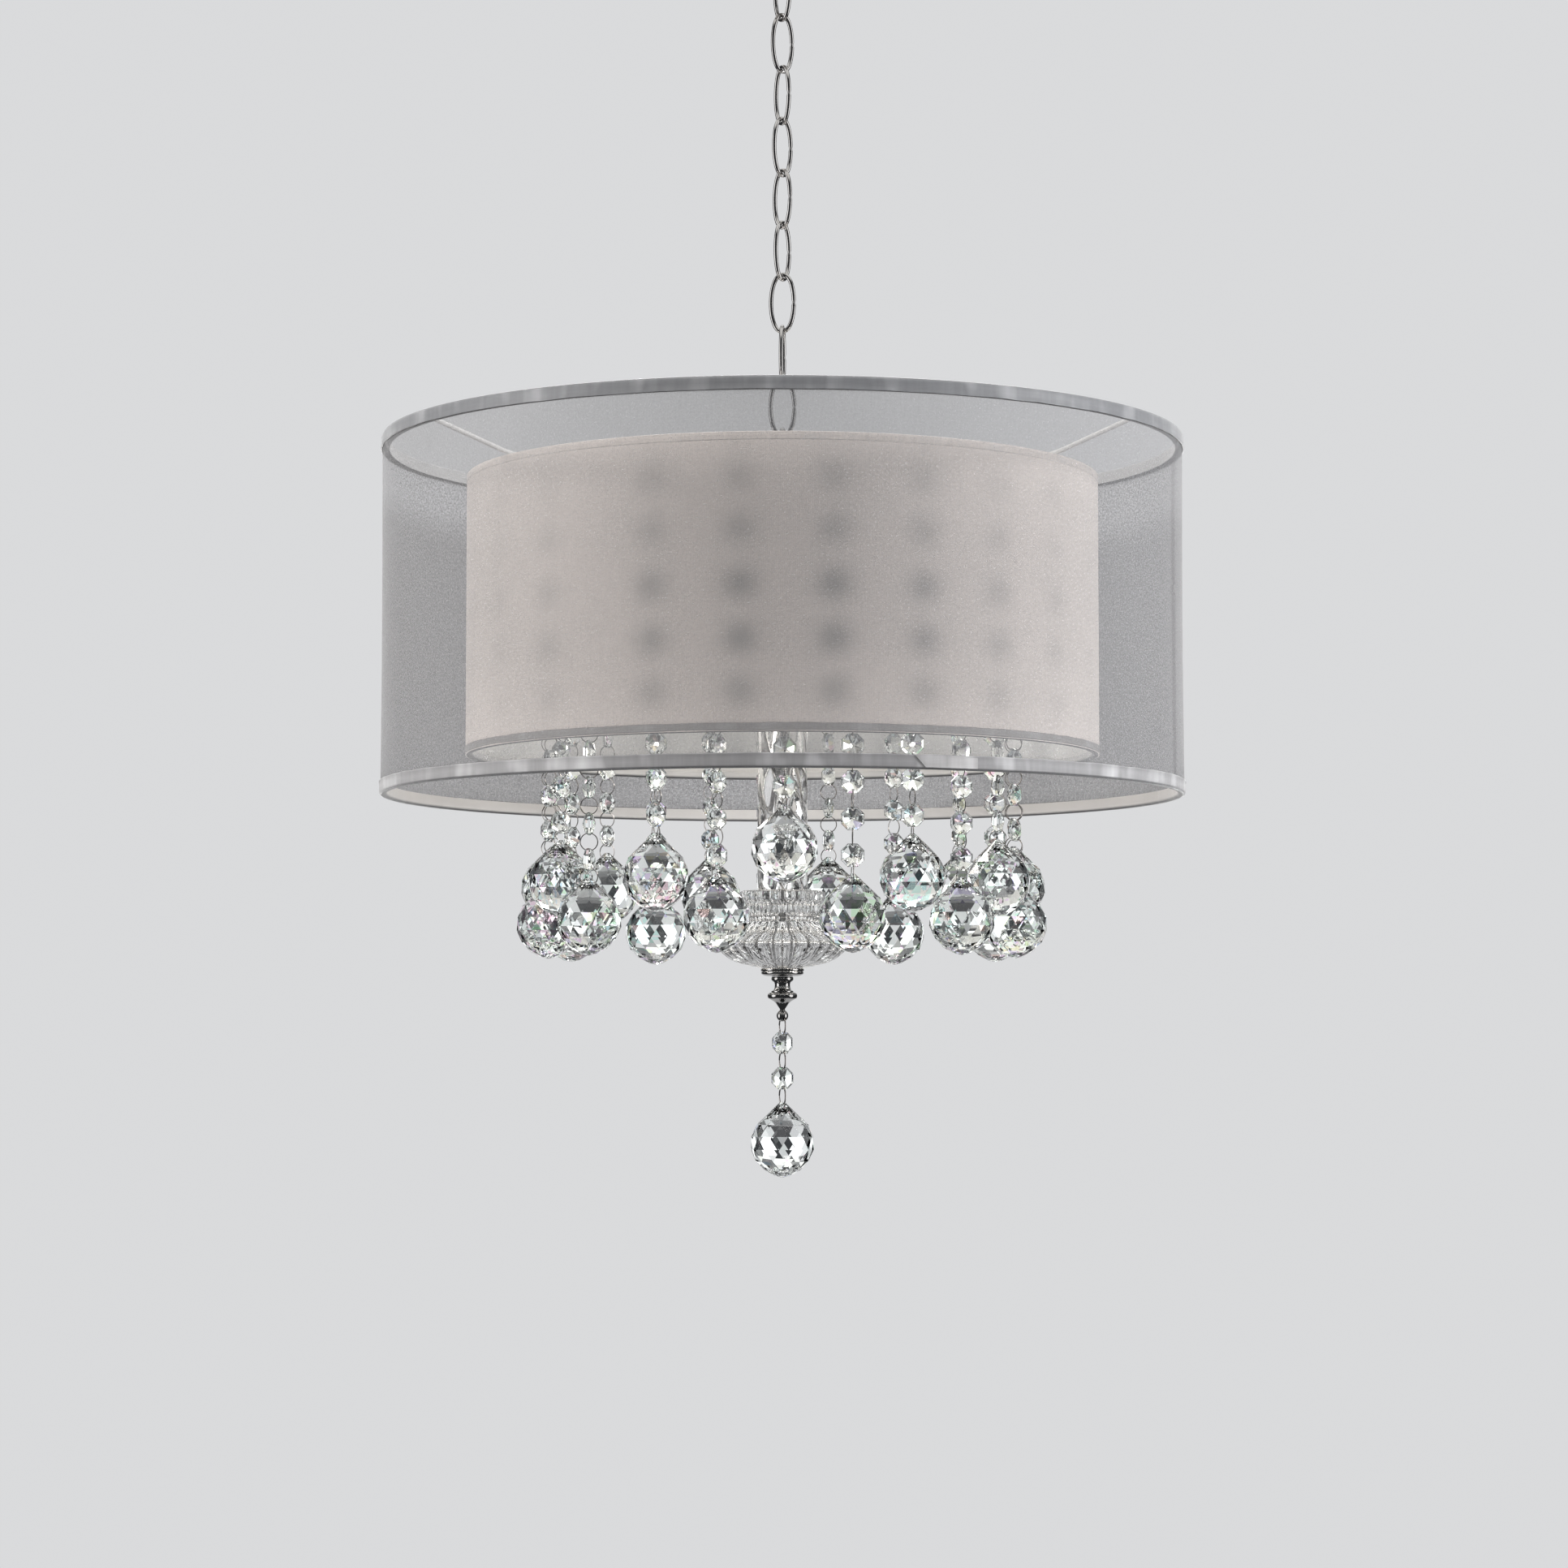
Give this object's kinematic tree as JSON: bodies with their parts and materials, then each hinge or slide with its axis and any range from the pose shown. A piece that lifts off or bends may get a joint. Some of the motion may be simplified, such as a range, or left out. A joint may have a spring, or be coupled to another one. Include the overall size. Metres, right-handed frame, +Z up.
{
  "type": "ceiling light",
  "caption": "Chain-hung drum-shade chandelier: sheer outer shade over a lined inner shade, swinging crystal strands, glass column and bowl, and a crystal drop.",
  "frame": {"origin": "centre of the ceiling face, at the top of the crossbar inside the canopy", "axes": "+Z up out of the ceiling face, -Y to the viewer of the picture, +X to that viewer's right"},
  "size_m": [0.508, 0.508, 0.8276],
  "materials": {
    "nickel": "polished nickel plate",
    "frame_wire": "white painted wire",
    "steel": "plated steel",
    "crystal": "cut and polished crystal",
    "pressed_glass": "clear pressed glass",
    "organza": "sheer organza with satin trim",
    "lining": "matte lining fabric",
    "socket_plastic": "moulded",
    "bulb_glass": "frosted lamp glass",
    "bushing_nylon": "moulded nylon"
  },
  "bodies": {
    "ceiling": {"crossbar": "steel", "canopy": "nickel", "canopy_loop": "nickel", "cord_bushing": "bushing_nylon"},
    "chain_link_1": {"chain_link_1": "nickel"},
    "chain_link_2": {"chain_link_2": "nickel"},
    "chain_link_3": {"chain_link_3": "nickel"},
    "chain_link_4": {"chain_link_4": "nickel"},
    "chain_link_5": {"chain_link_5": "nickel"},
    "chain_link_6": {"chain_link_6": "nickel"},
    "chain_link_7": {"chain_link_7": "nickel"},
    "chain_link_8": {"chain_link_8": "nickel"},
    "chain_link_9": {"chain_link_9": "nickel"},
    "light": {"fixture_loop": "nickel", "stem_rod": "steel", "outer_shade_frame": "frame_wire", "inner_shade_frame": "frame_wire", "outer_shade_bottom_ring": "frame_wire", "inner_shade_bottom_ring": "frame_wire", "outer_shade": "organza", "inner_shade": "lining", "crystal_frame": "steel", "lamp_cluster": "nickel", "socket_1": "socket_plastic", "socket_2": "socket_plastic", "bulb_1": "bulb_glass", "bulb_2": "bulb_glass", "glass_column": "pressed_glass", "glass_crown": "pressed_glass", "glass_bowl": "pressed_glass", "base_cap": "nickel", "finial": "nickel"},
    "strand_01": {"crystal_strand_01": "crystal"},
    "strand_02": {"crystal_strand_02": "crystal"},
    "strand_03": {"crystal_strand_03": "crystal"},
    "strand_04": {"crystal_strand_04": "crystal"},
    "strand_05": {"crystal_strand_05": "crystal"},
    "strand_06": {"crystal_strand_06": "crystal"},
    "strand_07": {"crystal_strand_07": "crystal"},
    "strand_08": {"crystal_strand_08": "crystal"},
    "strand_09": {"crystal_strand_09": "crystal"},
    "strand_10": {"crystal_strand_10": "crystal"},
    "strand_11": {"crystal_strand_11": "crystal"},
    "strand_12": {"crystal_strand_12": "crystal"},
    "strand_13": {"crystal_strand_13": "crystal"},
    "strand_14": {"crystal_strand_14": "crystal"},
    "strand_15": {"crystal_strand_15": "crystal"},
    "strand_16": {"crystal_strand_16": "crystal"},
    "strand_17": {"crystal_strand_17": "crystal"},
    "strand_18": {"crystal_strand_18": "crystal"},
    "strand_19": {"crystal_strand_19": "crystal"},
    "strand_20": {"crystal_strand_20": "crystal"},
    "strand_21": {"crystal_strand_21": "crystal"},
    "strand_22": {"crystal_strand_22": "crystal"},
    "drop": {"drop_ring_1": "nickel", "drop_bead_1": "crystal", "drop_ring_2": "nickel", "drop_bead_2": "crystal"},
    "drop_ball": {"drop_ring_3": "nickel", "drop_ball": "crystal"}
  },
  "joints": [
    {"name": "chain_link_1_swing", "type": "hinge", "parent": "ceiling", "child": "chain_link_1", "pos_m": [0, 0, -0.0543], "axis": [0.7986, 0.6018, 0], "range_deg": [-8, 8]},
    {"name": "chain_link_2_swing", "type": "hinge", "parent": "chain_link_1", "child": "chain_link_2", "pos_m": [0, 0, -0.0874], "axis": [0.6018, -0.7986, 0], "range_deg": [-8, 8]},
    {"name": "chain_link_3_swing", "type": "hinge", "parent": "chain_link_2", "child": "chain_link_3", "pos_m": [0, 0, -0.1211], "axis": [0.7986, 0.6018, 0], "range_deg": [-8, 8]},
    {"name": "chain_link_4_swing", "type": "hinge", "parent": "chain_link_3", "child": "chain_link_4", "pos_m": [0, 0, -0.1548], "axis": [0.5446, -0.8387, 0], "range_deg": [-8, 8]},
    {"name": "chain_link_5_swing", "type": "hinge", "parent": "chain_link_4", "child": "chain_link_5", "pos_m": [0, 0, -0.1885], "axis": [0.6947, 0.7193, 0], "range_deg": [-8, 8]},
    {"name": "chain_link_6_swing", "type": "hinge", "parent": "chain_link_5", "child": "chain_link_6", "pos_m": [0, 0, -0.2222], "axis": [0.6428, -0.766, 0], "range_deg": [-8, 8]},
    {"name": "chain_link_7_swing", "type": "hinge", "parent": "chain_link_6", "child": "chain_link_7", "pos_m": [0, 0, -0.2559], "axis": [0.5592, 0.829, 0], "range_deg": [-8, 8]},
    {"name": "chain_link_8_swing", "type": "hinge", "parent": "chain_link_7", "child": "chain_link_8", "pos_m": [0, 0, -0.2896], "axis": [0.9563, -0.2924, 0], "range_deg": [-8, 8]},
    {"name": "chain_link_9_swing", "type": "hinge", "parent": "chain_link_8", "child": "chain_link_9", "pos_m": [0, 0, -0.3233], "axis": [0.1219, 0.9925, 0], "range_deg": [-8, 8]},
    {"name": "light_swing", "type": "hinge", "parent": "chain_link_9", "child": "light", "pos_m": [0, 0, -0.357], "axis": [1, 0, 0], "range_deg": [-8, 8]},
    {"name": "strand_01_swing", "type": "hinge", "parent": "light", "child": "strand_01", "pos_m": [0.00129, -0.14799, -0.3965], "axis": [-1, -0.0087, 0], "range_deg": [-4, 8]},
    {"name": "strand_02_swing", "type": "hinge", "parent": "light", "child": "strand_02", "pos_m": [0.04203, -0.14191, -0.3965], "axis": [-0.9588, -0.284, 0], "range_deg": [-4, 8]},
    {"name": "strand_03_swing", "type": "hinge", "parent": "light", "child": "strand_03", "pos_m": [0.07843, -0.12551, -0.3965], "axis": [-0.848, -0.5299, 0], "range_deg": [-4, 8]},
    {"name": "strand_04_swing", "type": "hinge", "parent": "light", "child": "strand_04", "pos_m": [0.10912, -0.09999, -0.3965], "axis": [-0.6756, -0.7373, 0], "range_deg": [-4, 8]},
    {"name": "strand_05_swing", "type": "hinge", "parent": "light", "child": "strand_05", "pos_m": [0.13302, -0.06488, -0.3965], "axis": [-0.4384, -0.8988, 0], "range_deg": [-4, 8]},
    {"name": "strand_06_swing", "type": "hinge", "parent": "light", "child": "strand_06", "pos_m": [0.14552, -0.02697, -0.3965], "axis": [-0.1822, -0.9833, 0], "range_deg": [-4, 8]},
    {"name": "strand_07_swing", "type": "hinge", "parent": "light", "child": "strand_07", "pos_m": [0.14719, 0.01547, -0.3965], "axis": [0.1045, -0.9945, 0], "range_deg": [-4, 8]},
    {"name": "strand_08_swing", "type": "hinge", "parent": "light", "child": "strand_08", "pos_m": [0.13722, 0.05544, -0.3965], "axis": [0.3746, -0.9272, 0], "range_deg": [-4, 8]},
    {"name": "strand_09_swing", "type": "hinge", "parent": "light", "child": "strand_09", "pos_m": [0.11583, 0.09213, -0.3965], "axis": [0.6225, -0.7826, 0], "range_deg": [-4, 8]},
    {"name": "strand_10_swing", "type": "hinge", "parent": "light", "child": "strand_10", "pos_m": [0.074, 0.12817, -0.3965], "axis": [0.866, -0.5, 0], "range_deg": [-4, 8]},
    {"name": "strand_11_swing", "type": "hinge", "parent": "light", "child": "strand_11", "pos_m": [0.03077, 0.14477, -0.3965], "axis": [0.9781, -0.2079, 0], "range_deg": [-4, 8]},
    {"name": "strand_12_swing", "type": "hinge", "parent": "light", "child": "strand_12", "pos_m": [-0.01032, 0.14764, -0.3965], "axis": [0.9976, 0.0698, 0], "range_deg": [-4, 8]},
    {"name": "strand_13_swing", "type": "hinge", "parent": "light", "child": "strand_13", "pos_m": [-0.04818, 0.13994, -0.3965], "axis": [0.9455, 0.3256, 0], "range_deg": [-4, 8]},
    {"name": "strand_14_swing", "type": "hinge", "parent": "light", "child": "strand_14", "pos_m": [-0.08383, 0.12197, -0.3965], "axis": [0.8241, 0.5664, 0], "range_deg": [-4, 8]},
    {"name": "strand_15_swing", "type": "hinge", "parent": "light", "child": "strand_15", "pos_m": [-0.11502, 0.09314, -0.3965], "axis": [0.6293, 0.7771, 0], "range_deg": [-4, 8]},
    {"name": "strand_16_swing", "type": "hinge", "parent": "light", "child": "strand_16", "pos_m": [-0.13623, 0.05783, -0.3965], "axis": [0.3907, 0.9205, 0], "range_deg": [-4, 8]},
    {"name": "strand_17_swing", "type": "hinge", "parent": "light", "child": "strand_17", "pos_m": [-0.14656, 0.0206, -0.3965], "axis": [0.1392, 0.9903, 0], "range_deg": [-4, 8]},
    {"name": "strand_18_swing", "type": "hinge", "parent": "light", "child": "strand_18", "pos_m": [-0.1469, -0.01804, -0.3965], "axis": [-0.1219, 0.9925, 0], "range_deg": [-4, 8]},
    {"name": "strand_19_swing", "type": "hinge", "parent": "light", "child": "strand_19", "pos_m": [-0.13722, -0.05544, -0.3965], "axis": [-0.3746, 0.9272, 0], "range_deg": [-4, 8]},
    {"name": "strand_20_swing", "type": "hinge", "parent": "light", "child": "strand_20", "pos_m": [-0.1182, -0.08907, -0.3965], "axis": [-0.6018, 0.7986, 0], "range_deg": [-4, 8]},
    {"name": "strand_21_swing", "type": "hinge", "parent": "light", "child": "strand_21", "pos_m": [-0.07623, -0.12686, -0.3965], "axis": [-0.8572, 0.515, 0], "range_deg": [-4, 8]},
    {"name": "strand_22_swing", "type": "hinge", "parent": "light", "child": "strand_22", "pos_m": [-0.0393, -0.14269, -0.3965], "axis": [-0.9641, 0.2656, 0], "range_deg": [-4, 8]},
    {"name": "drop_swing", "type": "hinge", "parent": "light", "child": "drop", "pos_m": [0, 0, -0.7264], "axis": [-0.4226, 0.9063, 0], "range_deg": [-12, 12]},
    {"name": "drop_ball_swing", "type": "hinge", "parent": "drop", "child": "drop_ball", "pos_m": [0, 0, -0.7703], "axis": [-0.4226, 0.9063, 0], "range_deg": [-12, 12]}
  ]
}
